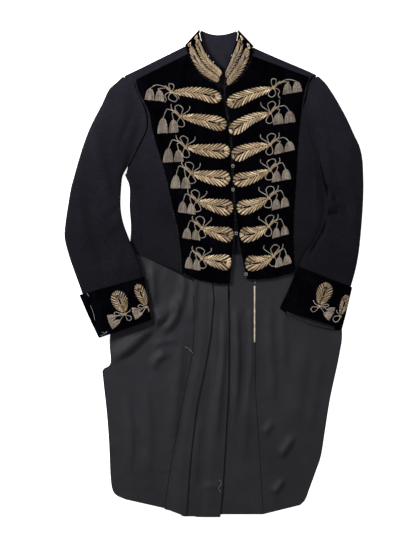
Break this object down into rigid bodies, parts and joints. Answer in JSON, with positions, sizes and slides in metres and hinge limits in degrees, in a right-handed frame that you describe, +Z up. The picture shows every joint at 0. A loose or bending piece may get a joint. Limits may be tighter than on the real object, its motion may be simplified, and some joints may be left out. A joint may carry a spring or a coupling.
{
  "type": "court coat, laid flat",
  "caption": "Tail coat of court dress laid flat, front up: velvet plastron, cuffs and stand collar with raised gilt leaf sprays, bows and tassels.",
  "frame": {"origin": "middle of the coat's plan, on the surface that it lies on", "axes": "+X to the wearer's left side, +Y from the tails to the collar, +Z up from the surface"},
  "size_m": [0.644, 1.0508, 0.0258],
  "materials": {
    "wool": "matt fulled wool",
    "twill": "twill with a low sheen",
    "velvet": "pile",
    "neck_cloth": "matt",
    "gilt": "aged gilt wire",
    "hook_metal": "worn",
    "piping_cord": "cord"
  },
  "bodies": {
    "root": {"back_right": "wool", "back_left": "wool", "side_body_right": "wool", "side_body_left": "wool", "skirt_right": "wool", "skirt_left": "wool", "front_right": "wool", "front_left": "wool", "top_sleeve_right": "wool", "top_sleeve_left": "wool", "under_sleeve_right": "wool", "under_sleeve_left": "wool", "skirt_lining_right": "twill", "skirt_lining_left": "twill", "back_lining_right": "twill", "back_lining_left": "twill", "plastron_right": "velvet", "plastron_left": "velvet", "cuff_right": "velvet", "cuff_left": "velvet", "collar": "velvet", "back_neck_lining": "neck_cloth", "collar_lining": "neck_cloth", "row_1_right": "gilt", "row_2_right": "gilt", "row_3_right": "gilt", "row_4_right": "gilt", "row_5_right": "gilt", "row_6_right": "gilt", "row_7_right": "gilt", "row_1_left": "gilt", "row_2_left": "gilt", "row_3_left": "gilt", "row_4_left": "gilt", "row_5_left": "gilt", "row_6_left": "gilt", "row_7_left": "gilt", "collar_spray_right": "gilt", "collar_spray_left": "gilt", "cuff_spray_1_right": "gilt", "cuff_spray_2_right": "gilt", "cuff_spray_1_left": "gilt", "cuff_spray_2_left": "gilt", "hook_collar": "hook_metal", "hook_1": "hook_metal", "hook_2": "hook_metal", "hook_3": "hook_metal", "hook_4": "hook_metal", "piping": "piping_cord"}
  },
  "joints": []
}
